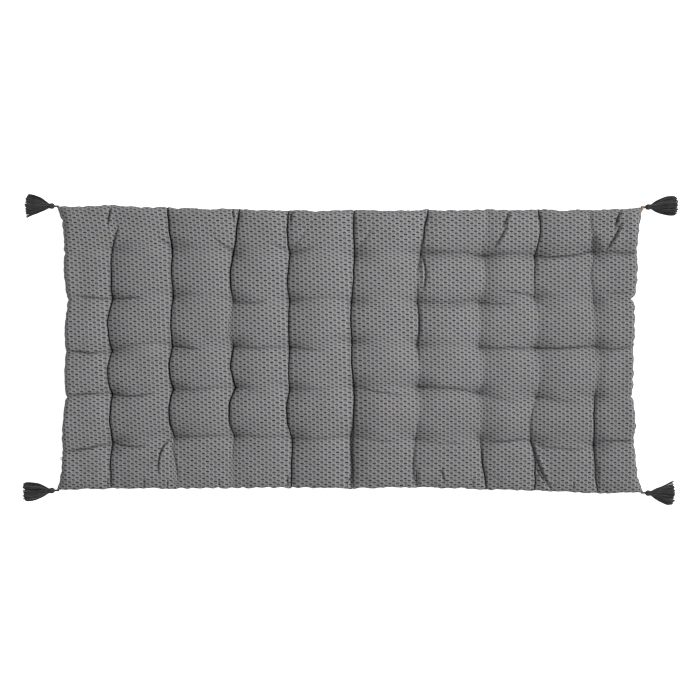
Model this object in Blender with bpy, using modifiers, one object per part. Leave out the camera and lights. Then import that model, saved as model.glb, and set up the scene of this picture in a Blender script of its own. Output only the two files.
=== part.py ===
"""Tufted floor mattress, 120 x 60 cm, with a yarn tassel at each corner.

Run it with blender --background --python part.py, or from Blender's text editor. It is in metres,
with +Z up. The mattress lies flat: X runs along its length, Y across it, and the origin is on the
floor under its middle.
"""

import math
import random

import bmesh
import bpy
import numpy as np

MM = 0.001
GAP = 0.3 * MM

# Driving sizes of the filled cover. The two panels meet in a seam round the edge, and 45 tufts draw
# them together.
THICKNESS = 58 * MM
SEAM_HEIGHT = 24 * MM
CORNER_HEIGHT = 8 * MM
TUFT_TOP = 29 * MM
TUFT_UNDERSIDE = 13 * MM
CROWN_UNEVENNESS = 4.0 * MM

# How far the round shoulder reaches on each side of a crease, round a tuft, and in from the seam.
UPRIGHT_SHOULDER = 46 * MM
CROSS_SHOULDER = 36 * MM
TUFT_REACH = 42 * MM
EDGE_ROLL_TOP = 44 * MM
EDGE_ROLL_UNDERSIDE = 26 * MM
CORNER_DROP = 150 * MM

# The underside is the same cover pressed on the floor, so its creases are this share as deep, and
# what would swell further than the press is flat.
UNDERSIDE_CREASE = 0.5
UNDERSIDE_PRESS = 2.5 * MM

# The upright creases and the two end seams, from the left end to the right, in millimetres.
# X: its place at the far seam, at the five tuft lines and at the near seam.
# BOW: how far it bows to the right half way along each of the six stretches between those places.
# DEPTH: how deep the crease is half way along each stretch.
UPRIGHT_LINES = (
    dict(X=(-604, -588, -580, -584, -584, -592, -604), BOW=(5, -3, -4, -3, -3, 3),
         DEPTH=(0, 0, 0, 0, 0, 0)),
    dict(X=(-492, -488, -488, -490, -489, -489, -492), BOW=(8, -2, -8, -8, -3, -2),
         DEPTH=(9, 15, 16, 16, 14, 12)),
    dict(X=(-375, -365, -363, -365, -363, -361, -354), BOW=(-1, -1, -3, -7, -9, -5),
         DEPTH=(14, 16, 17, 16, 14, 7)),
    dict(X=(-229, -239, -239, -239, -235, -238, -241), BOW=(1, -6, -7, -7, -12, -2),
         DEPTH=(13, 15, 16, 16, 16, 9)),
    dict(X=(-126, -123, -124, -124, -124, -119, -122), BOW=(-5, -5, -2, -2, -9, 1),
         DEPTH=(14, 18, 18, 18, 19, 14)),
    dict(X=(8, 10, 3, 4, 8, 3, 4), BOW=(-1, 0, -2, -2, 3, 0),
         DEPTH=(15, 17, 19, 18, 20, 20)),
    dict(X=(159, 147, 139, 138, 140, 134, 134), BOW=(6, 1, 6, 2, 3, -4),
         DEPTH=(14, 14, 15, 14, 14, 9)),
    dict(X=(280, 275, 267, 266, 266, 268, 282), BOW=(2, 5, 0, 6, 2, -1),
         DEPTH=(8, 9, 10, 9, 9, 10)),
    dict(X=(387, 381, 379, 381, 383, 373, 379), BOW=(5, -2, 5, 5, -9, 5),
         DEPTH=(13, 13, 8, 8, 10, 14)),
    dict(X=(490, 502, 501, 507, 504, 503, 511), BOW=(0, -8, -4, 0, -3, -3),
         DEPTH=(9, 8, 8, 8, 11, 12)),
    dict(X=(604, 591, 584, 583, 580, 585, 604), BOW=(-3, 3, 2, 1, 4, -4),
         DEPTH=(0, 0, 0, 0, 0, 0)),
)

# The cross creases and the two long seams, from the far side to the near one, in millimetres.
# Y: its place at the left seam, at the nine upright creases and at the right seam.
# SAG: how far it sags towards the near side half way along each of the ten stretches between them.
# DEPTH: how deep the crease is half way along each stretch.
LEVEL = (0, 0, 0, 0, 0, 0, 0, 0, 0, 0)
CROSS_LINES = (
    dict(Y=(296, 298, 293, 290, 287, 288, 288, 289, 289, 288, 294), SAG=2,
         DEPTH=LEVEL),
    dict(Y=(197, 204, 209, 195, 197, 192, 196, 192, 192, 200, 195), SAG=-1,
         DEPTH=(4, 3, 4, 4, 4, 6, 9, 9, 12, 9)),
    dict(Y=(100, 104, 109, 98, 99, 97, 96, 95, 107, 95, 102), SAG=0,
         DEPTH=(4, 3, 5, 5, 5, 4, 8, 5, 4, 5)),
    dict(Y=(-9, -3, 6, 7, 4, 16, 9, 4, 3, 5, 7), SAG=1,
         DEPTH=(9, 6, 8, 7, 7, 4, 4, 9, 10, 9)),
    dict(Y=(-98, -92, -81, -78, -81, -75, -77, -90, -98, -96, -96), SAG=1,
         DEPTH=(7, 7, 5, 5, 4, 8, 9, 7, 6, 5)),
    dict(Y=(-209, -192, -179, -177, -182, -178, -184, -184, -191, -196, -184), SAG=0,
         DEPTH=(9, 9, 7, 7, 6, 5, 6, 6, 8, 7)),
    dict(Y=(-291, -287, -287, -286, -285, -287, -284, -289, -291, -297, -296), SAG=-1,
         DEPTH=LEVEL),
)
CELLS_LONG = len(UPRIGHT_LINES) - 1
CELLS_WIDE = len(CROSS_LINES) - 1

# Where the rows of mesh points lie across one cell, closer together beside a crease.
STATIONS_LONG = (0.0, 0.08, 0.26, 0.5, 0.74, 0.92)
STATIONS_WIDE = (0.0, 0.1, 0.28, 0.5, 0.72, 0.9)

# One tassel at each corner of the seam, in millimetres and degrees.
# CORNER: its place in the two tables above. HEADING: the way it points, from +X. SKIRT: its length
# from the neck. TRIM: how much shorter its outer locks are. WIDTH: half its width at the tips.
TASSELS = (
    dict(NAME="far_left", CORNER=(0, 0), HEADING=176.9, SKIRT=47, TRIM=9, WIDTH=20),
    dict(NAME="far_right", CORNER=(CELLS_LONG, 0), HEADING=3.2, SKIRT=52, TRIM=3, WIDTH=19),
    dict(NAME="near_left", CORNER=(0, CELLS_WIDE), HEADING=183.1, SKIRT=52, TRIM=3, WIDTH=19),
    dict(NAME="near_right", CORNER=(CELLS_LONG, CELLS_WIDE), HEADING=-3.3, SKIRT=47, TRIM=9, WIDTH=20),
)

# Sizes of a tassel, along its axis from the corner of the seam outwards.
TIE_RADIUS = 1.2 * MM
HEAD_START = 6.5 * MM
HEAD_RADIUS = 5.9 * MM
HEAD_AXIS_HEIGHT = 6.3 * MM
NECK = 17 * MM
NECK_RADIUS = 3.6 * MM
BINDING_RADIUS = 5.0 * MM
BINDING_WIDTH = 3.0 * MM
BELL_END = 29 * MM
BELL_HALF_WIDTH = 13 * MM
BELL_HALF_HEIGHT = 5.4 * MM
BELL_LIP = 1.5 * MM
RING_SIDES = 16

# The layers of yarn locks in a skirt, from the floor up. COUNT: locks side by side. ROOT and END:
# the height of their undersides in the bell and at their tips. ROOT_WIDE: half the width of the
# layer at its roots. END_SHARE: its share of the skirt's half width at the tips.
YARN_LAYERS = (
    dict(COUNT=12, ROOT=2.7, END=0.0, ROOT_WIDE=8.2, END_SHARE=1.0),
    dict(COUNT=14, ROOT=5.5, END=3.4, ROOT_WIDE=10.6, END_SHARE=0.96),
    dict(COUNT=11, ROOT=8.3, END=6.8, ROOT_WIDE=7.6, END_SHARE=0.76),
)
LOCK_ROOT = 25.5 * MM
LOCK_ROOT_SIZE = (1.25 * MM, 1.5 * MM)
LOCK_END_SIZE = (2.4 * MM, 2.9 * MM)
LOCK_STATIONS = (0.0, 0.16, 0.42, 0.72, 1.0)
LENGTH_UNEVENNESS = 3.0 * MM
SIDE_UNEVENNESS = 0.12 * MM


def clear_scene():
    """Removes whatever the file opened with."""
    for thing in list(bpy.data.objects):
        bpy.data.objects.remove(thing, do_unlink=True)


def new_collection(name):
    made = bpy.data.collections.new(name)
    bpy.context.scene.collection.children.link(made)
    return made


def cloth_material(name, colour, roughness):
    """A dull, non-metallic Principled surface."""
    made = bpy.data.materials.new(name)
    made.use_nodes = True
    shader = made.node_tree.nodes["Principled BSDF"]
    shader.inputs["Base Color"].default_value = (*colour, 1.0)
    shader.inputs["Roughness"].default_value = roughness
    shader.inputs["Metallic"].default_value = 0.0
    made.diffuse_color = (*colour, 1.0)
    return made


def place(made, collection, material):
    """Moves an object into a collection and gives it its material."""
    for held in list(made.users_collection):
        held.objects.unlink(made)
    collection.objects.link(made)
    made.data.materials.clear()
    made.data.materials.append(material)
    return made


def object_from(bm, name):
    """A new object, not yet in a collection."""
    mesh = bpy.data.meshes.new(name)
    bm.to_mesh(mesh)
    bm.free()
    return bpy.data.objects.new(name, mesh)


# The filled cover. A point on it is named by two numbers: a counts cells from the left end, and b
# counts cells from the far side, so that whole numbers are the seams and the creases.


def cell_and_share(value, cells):
    """The cell that each value lies in, and how far across that cell it is, from 0 to 1."""
    cell = np.clip(np.floor(value), 0, cells - 1).astype(int)
    return cell, value - cell


def bowed(knots, bows, value):
    """A line through the knots that bows by half a sine wave between each two."""
    cell, share = cell_and_share(value, len(bows))
    straight = np.interp(value, np.arange(len(knots)), knots)
    return straight + np.array(bows)[cell] * np.sin(math.pi * share)


def plan(a, b):
    """X and Y of each point, read between the two creases on each side of it."""
    column, across = cell_and_share(a, CELLS_LONG)
    row, along = cell_and_share(b, CELLS_WIDE)
    lines_x = np.array([bowed(line["X"], line["BOW"], b.ravel()) for line in UPRIGHT_LINES])
    sags = [[-line["SAG"]] * CELLS_LONG for line in CROSS_LINES]
    lines_y = np.array([bowed(line["Y"], sag, a.ravel()) for line, sag in zip(CROSS_LINES, sags)])
    each = np.arange(a.size)
    left = lines_x[column.ravel(), each].reshape(a.shape)
    right = lines_x[column.ravel() + 1, each].reshape(a.shape)
    far = lines_y[row.ravel(), each].reshape(a.shape)
    near = lines_y[row.ravel() + 1, each].reshape(a.shape)
    return (left + (right - left) * across) * MM, (far + (near - far) * along) * MM


def depth_along(lines, nearest, value):
    """How deep the nearest line's crease is, read between the middles of its stretches."""
    middles = np.arange(len(lines[0]["DEPTH"])) + 0.5
    depths = np.array([np.interp(value, middles, line["DEPTH"]) for line in lines])
    return np.take_along_axis(depths, nearest[np.newaxis], axis=0)[0] * MM


def shoulder(distance, reach):
    """1 in a crease and 0 beyond its reach, by a quarter circle that stands upright in the crease."""
    out = np.clip(distance / reach, 0, 1)
    return 1 - np.sqrt(1 - (1 - out) ** 2)


def roll(distance, reach):
    """0 at the seam and 1 beyond its reach, by a quarter circle that stands upright at the seam."""
    return 1 - shoulder(distance, reach)


def cover_heights(a, b):
    """Heights of the upper and the lower panel at each point."""
    column, across = cell_and_share(a, CELLS_LONG)
    row, along = cell_and_share(b, CELLS_WIDE)
    cell_long = (np.mean(UPRIGHT_LINES[-1]["X"]) - np.mean(UPRIGHT_LINES[0]["X"])) * MM / CELLS_LONG
    cell_wide = (np.mean(CROSS_LINES[0]["Y"]) - np.mean(CROSS_LINES[-1]["Y"])) * MM / CELLS_WIDE
    near_column = np.rint(a).astype(int)
    near_row = np.rint(b).astype(int)
    to_upright = np.abs(a - near_column) * cell_long
    to_cross = np.abs(b - near_row) * cell_wide
    upright_depth = depth_along(UPRIGHT_LINES, near_column, b)
    cross_depth = depth_along(CROSS_LINES, near_row, a)
    tufted = (upright_depth > 0) & (cross_depth > 0)

    # The filling isn't even: each cell's crown is lower by its own share of the unevenness, which
    # fades out towards the cell's edges.
    share = (1 + np.sin(2.3 * column + 1.7 * row)) / 2
    middle = np.sin(math.pi * across) * np.sin(math.pi * along)
    crown = THICKNESS - CROWN_UNEVENNESS * share * middle
    creases = upright_depth * shoulder(to_upright, UPRIGHT_SHOULDER)
    creases = creases + cross_depth * shoulder(to_cross, CROSS_SHOULDER)
    to_tuft = np.hypot(to_upright, to_cross)
    pull = np.where(tufted, np.clip(1 - to_tuft / TUFT_REACH, 0, 1) ** 2, 0)
    to_tuft_top = THICKNESS - TUFT_TOP - upright_depth - cross_depth
    upper = crown - creases - np.clip(to_tuft_top, 0, None) * pull

    to_tuft_under = TUFT_UNDERSIDE - UNDERSIDE_CREASE * (upright_depth + cross_depth)
    lower = UNDERSIDE_CREASE * creases + np.clip(to_tuft_under, 0, None) * pull - UNDERSIDE_PRESS
    lower = np.clip(lower, 0, None)

    to_end = np.minimum(a, CELLS_LONG - a) * cell_long
    to_side = np.minimum(b, CELLS_WIDE - b) * cell_wide
    rise = np.clip(np.hypot(to_end, to_side) / CORNER_DROP, 0, 1)
    seam = CORNER_HEIGHT + (SEAM_HEIGHT - CORNER_HEIGHT) * np.sin(rise * math.pi / 2)
    upper_roll = roll(to_end, EDGE_ROLL_TOP) * roll(to_side, EDGE_ROLL_TOP)
    lower_roll = roll(to_end, EDGE_ROLL_UNDERSIDE) * roll(to_side, EDGE_ROLL_UNDERSIDE)
    return seam + (upper - seam) * upper_roll, seam - (seam - lower) * lower_roll


def stations(places, cells):
    """The places in every cell, and the far end."""
    return np.append(np.add.outer(np.arange(cells), places).ravel(), cells)


def split_corners(cover):
    """Parts the faces at the four points of the seam inwards, so that each point keeps its thickness."""
    for point in [vert for vert in cover.verts if len(vert.link_edges) == 2]:
        for face in list(point.link_faces):
            turn = list(face.verts)
            bmesh.utils.face_split(face, point, turn[(turn.index(point) + 2) % 4])


def build_mattress(collection, material):
    """Two panels of cloth over their filling, sewn together round the edge and drawn in at the tufts."""
    longs = stations(STATIONS_LONG, CELLS_LONG)
    wides = stations(STATIONS_WIDE, CELLS_WIDE)
    a, b = np.meshgrid(longs, wides, indexing="ij")
    x, y = plan(a, b)
    cover = bmesh.new()
    for heights in cover_heights(a, b):
        panel = bmesh.ops.create_grid(cover, x_segments=len(wides) - 1, y_segments=len(longs) - 1, size=1)
        points = zip(x.ravel(), y.ravel(), heights.ravel())
        for corner, point in zip(panel["verts"], points):
            corner.co = point
    underside = list(cover.faces)[len(cover.faces) // 2 :]
    bmesh.ops.reverse_faces(cover, faces=underside)
    bmesh.ops.remove_doubles(cover, verts=cover.verts, dist=0.01 * MM)
    split_corners(cover)
    made = object_from(cover, "mattress")
    made.data.shade_smooth()
    return place(made, collection, material)


# A tassel. It lies on the floor with its head towards the mattress. It is built along +X from the
# corner of the seam, and placed and turned by the empty that carries its pieces.


def skin(bm, rings):
    """Closed rings of equal length skinned one after the other, with both ends capped."""
    made = [[bm.verts.new(point) for point in ring] for ring in rings]
    sides = len(made[0])
    for first, second in zip(made, made[1:]):
        for i in range(sides):
            j = (i + 1) % sides
            bm.faces.new((first[i], first[j], second[j], second[i]))
    bm.faces.new(reversed(made[0]))
    bm.faces.new(made[-1])


def oval(x, half_width, half_height, height):
    """A ring across the tassel's axis."""
    turns = [2 * math.pi * i / RING_SIDES for i in range(RING_SIDES)]
    return [(x, half_width * math.cos(t), height + half_height * math.sin(t)) for t in turns]


def tassel_backing(name):
    """The round head, the bound neck, and the short bell that the yarn leaves from."""
    rings = []
    for turn in (10, 34, 60, 85, 110):
        size = HEAD_RADIUS * math.sin(math.radians(turn))
        along = HEAD_START + HEAD_RADIUS * (1 - math.cos(math.radians(turn)))
        rings.append(oval(along, size, size, HEAD_AXIS_HEIGHT))
    neck_half = BINDING_WIDTH / 2 + GAP
    rings.append(oval(NECK - neck_half, NECK_RADIUS, NECK_RADIUS, HEAD_AXIS_HEIGHT))
    rings.append(oval(NECK + neck_half, NECK_RADIUS, NECK_RADIUS, HEAD_AXIS_HEIGHT))
    bell_start = NECK + neck_half
    for share in (0.3, 0.65, 1.0):
        spread = math.sin(math.pi / 2 * share)
        wide = NECK_RADIUS + (BELL_HALF_WIDTH - NECK_RADIUS) * spread
        high = NECK_RADIUS + (BELL_HALF_HEIGHT - NECK_RADIUS) * spread
        rings.append(oval(bell_start + (BELL_END - bell_start) * share, wide, high, HEAD_AXIS_HEIGHT))
    lip_size = (BELL_HALF_WIDTH - BELL_LIP, BELL_HALF_HEIGHT - BELL_LIP)
    rings.append(oval(BELL_END + BELL_LIP, *lip_size, HEAD_AXIS_HEIGHT))
    bm = bmesh.new()
    skin(bm, rings)
    return object_from(bm, name)


def lock_rings(side, layer, tassel, chance):
    """Rings of three points along one lock of yarn; side is from -1 to 1 across its layer."""
    trim = tassel["TRIM"] * MM * abs(side) ** 3
    end = NECK + tassel["SKIRT"] * MM - trim - LENGTH_UNEVENNESS * chance.random()
    root_side = side * layer["ROOT_WIDE"] * MM
    end_side = side * layer["END_SHARE"] * tassel["WIDTH"] * MM + SIDE_UNEVENNESS * chance.uniform(-1, 1)
    rings = []
    for share in LOCK_STATIONS:
        flare = 1 - (1 - share) ** 1.9
        settle = 1 - (1 - min(1, 1.6 * share)) ** 2
        swell = math.sin(math.pi / 2 * min(1, 1.4 * share))
        x = LOCK_ROOT + (end - LOCK_ROOT) * share
        y = root_side + (end_side - root_side) * flare
        z = (layer["ROOT"] + (layer["END"] - layer["ROOT"]) * settle) * MM
        wide, high = (r + (e - r) * swell for r, e in zip(LOCK_ROOT_SIZE, LOCK_END_SIZE))
        rings.append(((x, y - wide / 2, z), (x, y + wide / 2, z), (x, y, z + high)))
    return rings


def tassel_locks(tassel, chance):
    """All the locks of one skirt, each a closed form clear of the others."""
    bm = bmesh.new()
    for layer in YARN_LAYERS:
        for i in range(layer["COUNT"]):
            side = 2 * i / (layer["COUNT"] - 1) - 1
            skin(bm, lock_rings(side, layer, tassel, chance))
    return object_from(bm, "locks_" + tassel["NAME"])


def build_tassel(tassel, chance, parts, cutters, material):
    """The head and its locks, fused where the locks leave the backing."""
    locks = place(tassel_locks(tassel, chance), cutters, material)
    locks.hide_render = True
    locks.display_type = "WIRE"
    made = place(tassel_backing("tassel_" + tassel["NAME"]), parts, material)
    fuse = made.modifiers.new("fuse_locks", "BOOLEAN")
    fuse.operation = "UNION"
    fuse.object = locks
    return made, locks


def build_binding(tassel, collection, material):
    """The thread wound round the neck, as one band turned about the tassel's axis."""
    inner = NECK_RADIUS + GAP
    half = BINDING_WIDTH / 2
    middle = (inner + BINDING_RADIUS) / 2
    profile = (
        (NECK - half, inner),
        (NECK + half, inner),
        (NECK + half, middle),
        (NECK + half / 2, BINDING_RADIUS),
        (NECK - half / 2, BINDING_RADIUS),
        (NECK - half, middle),
    )
    bm = bmesh.new()
    corners = [bm.verts.new((x, 0, radius)) for x, radius in profile]
    for first, second in zip(corners, corners[1:] + corners[:1]):
        bm.edges.new((first, second))
    mesh = bpy.data.meshes.new("binding_" + tassel["NAME"])
    bm.to_mesh(mesh)
    bm.free()
    made = bpy.data.objects.new(mesh.name, mesh)
    turn = made.modifiers.new("turn", "SCREW")
    turn.axis = "X"
    turn.steps = turn.render_steps = RING_SIDES
    turn.use_merge_vertices = True
    turn.merge_threshold = 0.01 * MM
    made.location = (0, 0, HEAD_AXIS_HEIGHT)
    return place(made, collection, material)


def build_tie(tassel, collection, material):
    """The short end of yarn that is caught in the corner of the seam and goes to the head."""
    start = GAP
    end = HEAD_START - GAP
    line = bpy.data.curves.new("tie_" + tassel["NAME"], "CURVE")
    line.dimensions = "3D"
    line.bevel_depth = TIE_RADIUS
    line.bevel_resolution = 2
    line.use_fill_caps = True
    spline = line.splines.new("POLY")
    shares = (0.0, 0.35, 0.7, 1.0)
    spline.points.add(len(shares) - 1)
    for point, share in zip(spline.points, shares):
        eased = share * share * (3 - 2 * share)
        height = CORNER_HEIGHT + (HEAD_AXIS_HEIGHT - CORNER_HEIGHT) * eased
        point.co = (start + (end - start) * share, 0, height, 1)
    return place(bpy.data.objects.new(line.name, line), collection, material)


def main():
    clear_scene()
    parts = new_collection("floor_mattress")
    cutters = new_collection("cutters")
    printed_cotton = cloth_material("printed_cotton", (0.21, 0.21, 0.212), 0.92)
    charcoal_yarn = cloth_material("charcoal_yarn", (0.035, 0.035, 0.036), 0.95)
    build_mattress(parts, printed_cotton)
    chance = random.Random(7)
    for tassel in TASSELS:
        column, row = tassel["CORNER"]
        corner_x = UPRIGHT_LINES[column]["X"][row] * MM
        corner_y = CROSS_LINES[row]["Y"][column] * MM
        holder = bpy.data.objects.new("corner_" + tassel["NAME"], None)
        parts.objects.link(holder)
        holder.location = (corner_x, corner_y, 0)
        holder.rotation_euler = (0, 0, math.radians(tassel["HEADING"]))
        pieces = [
            *build_tassel(tassel, chance, parts, cutters, charcoal_yarn),
            build_binding(tassel, parts, charcoal_yarn),
            build_tie(tassel, parts, charcoal_yarn),
        ]
        for piece in pieces:
            piece.parent = holder


main()
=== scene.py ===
import math
from functools import partial

import bpy
import numpy as np
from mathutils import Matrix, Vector


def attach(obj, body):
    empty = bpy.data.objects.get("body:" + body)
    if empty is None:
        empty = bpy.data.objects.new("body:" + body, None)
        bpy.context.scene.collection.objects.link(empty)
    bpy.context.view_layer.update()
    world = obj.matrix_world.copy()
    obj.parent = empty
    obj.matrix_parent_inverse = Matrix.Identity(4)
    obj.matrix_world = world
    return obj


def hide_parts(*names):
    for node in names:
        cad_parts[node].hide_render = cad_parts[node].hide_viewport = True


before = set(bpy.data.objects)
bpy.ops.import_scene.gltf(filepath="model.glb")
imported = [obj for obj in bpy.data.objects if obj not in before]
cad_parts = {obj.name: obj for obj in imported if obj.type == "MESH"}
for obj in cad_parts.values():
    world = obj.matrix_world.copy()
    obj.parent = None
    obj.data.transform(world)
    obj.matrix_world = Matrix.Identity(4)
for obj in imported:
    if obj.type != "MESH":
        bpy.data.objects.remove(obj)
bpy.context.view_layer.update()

# The cover
# Two panels of printed cotton, sewn together round the edge and filled. Stitches through the filling
# draw the panels together at 45 tufts, and the cloth between them folds into creases.

MM = 0.001
THICKNESS = 58
SEAM_HEIGHT = 24
CORNER_HEIGHT = 8
TUFT_TOP = 29
TUFT_UNDERSIDE = 13

# The upright creases and the two end seams, from the left end to the right, in millimetres.
# X: its place at the far seam, at the five tuft lines and at the near seam.
# BOW: how far it bows to the right half way along each of the six stretches between those places.
# DEPTH: how deep the crease is half way along each stretch. SHUT: how far it is shut to a black line,
# and less than 0 where it stays open right up to the tufts.
UPRIGHT_LINES = (
    dict(X=(-604, -588, -580, -584, -584, -592, -604), BOW=(5, -3, -4, -3, -3, 3),
         DEPTH=(0, 0, 0, 0, 0, 0), SHUT=(0, 0, 0, 0, 0, 0)),
    dict(X=(-492, -488, -488, -490, -489, -489, -492), BOW=(8, -2, -8, -8, -3, -2),
         DEPTH=(6, 13, 16, 16, 14, 11), SHUT=(0, 0.5, 1.1, 1.1, 0.8, 0.4)),
    dict(X=(-375, -365, -363, -365, -363, -361, -354), BOW=(-1, -1, -3, -7, -9, -5),
         DEPTH=(14, 15, 17, 16, 14, 7), SHUT=(0.9, 1.1, 1.3, 1.2, 0.9, -0.4)),
    dict(X=(-227, -240, -239, -239, -235, -238, -241), BOW=(2, -6, -7, -7, -12, -2),
         DEPTH=(15, 15, 14, 15, 14, 10), SHUT=(0.8, 0.8, -0.4, 1.1, 0.5, 0)),
    dict(X=(-126, -123, -124, -124, -124, -119, -122), BOW=(-5, -5, -2, -2, -9, 1),
         DEPTH=(14, 18, 18, 17, 21, 14), SHUT=(1, 1.4, 1.4, 1.3, 1.8, 1)),
    dict(X=(8, 10, 3, 4, 8, 3, 4), BOW=(-1, 0, -2, -2, 3, 0),
         DEPTH=(16, 18, 20, 19, 22, 25), SHUT=(1.2, 1.4, 1.7, 1.6, 1.8, 1.8)),
    dict(X=(161, 146, 139, 138, 140, 134, 134), BOW=(-1, -5, 4, 2, 3, -4),
         DEPTH=(12, 13, 14, 15, 15, 10), SHUT=(0.7, 0, 0.7, 0, 0, 0.25)),
    dict(X=(280, 275, 267, 266, 266, 268, 282), BOW=(2, 5, 0, 6, 2, -1),
         DEPTH=(9, 14, 14, 14, 13, 11), SHUT=(0, 0, 0, 0, -0.4, 0.65)),
    dict(X=(387, 381, 379, 381, 383, 373, 379), BOW=(5, -2, 5, 5, -9, 5),
         DEPTH=(13, 14, 12, 12, 12, 12), SHUT=(0.8, 0.2, 0, 0, 0.15, 0.5)),
    dict(X=(490, 502, 501, 507, 504, 503, 511), BOW=(0, -8, -4, 0, -3, -3),
         DEPTH=(8, 11, 10, 10, 13, 12), SHUT=(0, 0.1, 0, -0.3, 0.7, 0.35)),
    dict(X=(604, 591, 584, 583, 580, 585, 604), BOW=(-3, 3, 2, 1, 4, -4),
         DEPTH=(0, 0, 0, 0, 0, 0), SHUT=(0, 0, 0, 0, 0, 0)),
)

# The cross creases and the two long seams, from the far side to the near one, in millimetres.
# Y: its place at the left seam, at the nine upright creases and at the right seam.
# SAG: how far it sags towards the near side half way along each of the ten stretches between them.
# DEPTH: how deep the crease is half way along each stretch.
LEVEL = (0, 0, 0, 0, 0, 0, 0, 0, 0, 0)
CROSS_LINES = (
    dict(Y=(296, 298, 293, 290, 287, 288, 288, 289, 289, 288, 294), SAG=2,
         DEPTH=LEVEL),
    dict(Y=(197, 204, 209, 195, 197, 192, 196, 192, 192, 200, 195), SAG=-1,
         DEPTH=(4, 3, 4, 4, 4, 6, 12, 12, 14, 11)),
    dict(Y=(100, 104, 109, 98, 99, 97, 96, 95, 107, 95, 102), SAG=0,
         DEPTH=(5, 4, 5, 5, 5, 4, 11, 7, 5, 8)),
    dict(Y=(-9, -3, 6, 7, 4, 16, 9, 4, 3, 5, 7), SAG=1,
         DEPTH=(9, 6, 8, 7, 7, 4, 4, 9, 11, 9)),
    dict(Y=(-98, -92, -81, -78, -81, -75, -77, -90, -98, -96, -96), SAG=1,
         DEPTH=(8, 8, 5, 5, 4, 8, 10, 7, 8, 6)),
    dict(Y=(-209, -192, -179, -177, -182, -178, -184, -184, -191, -196, -184), SAG=0,
         DEPTH=(9, 9, 7, 7, 6, 5, 6, 6, 8, 7)),
    dict(Y=(-291, -287, -287, -286, -285, -287, -284, -289, -291, -297, -296), SAG=-1,
         DEPTH=LEVEL),
)
CELLS_LONG = len(UPRIGHT_LINES) - 1
CELLS_WIDE = len(CROSS_LINES) - 1
CELL_LONG = (np.mean(UPRIGHT_LINES[-1]["X"]) - np.mean(UPRIGHT_LINES[0]["X"])) / CELLS_LONG
CELL_WIDE = (np.mean(CROSS_LINES[0]["Y"]) - np.mean(CROSS_LINES[-1]["Y"])) / CELLS_WIDE

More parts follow.
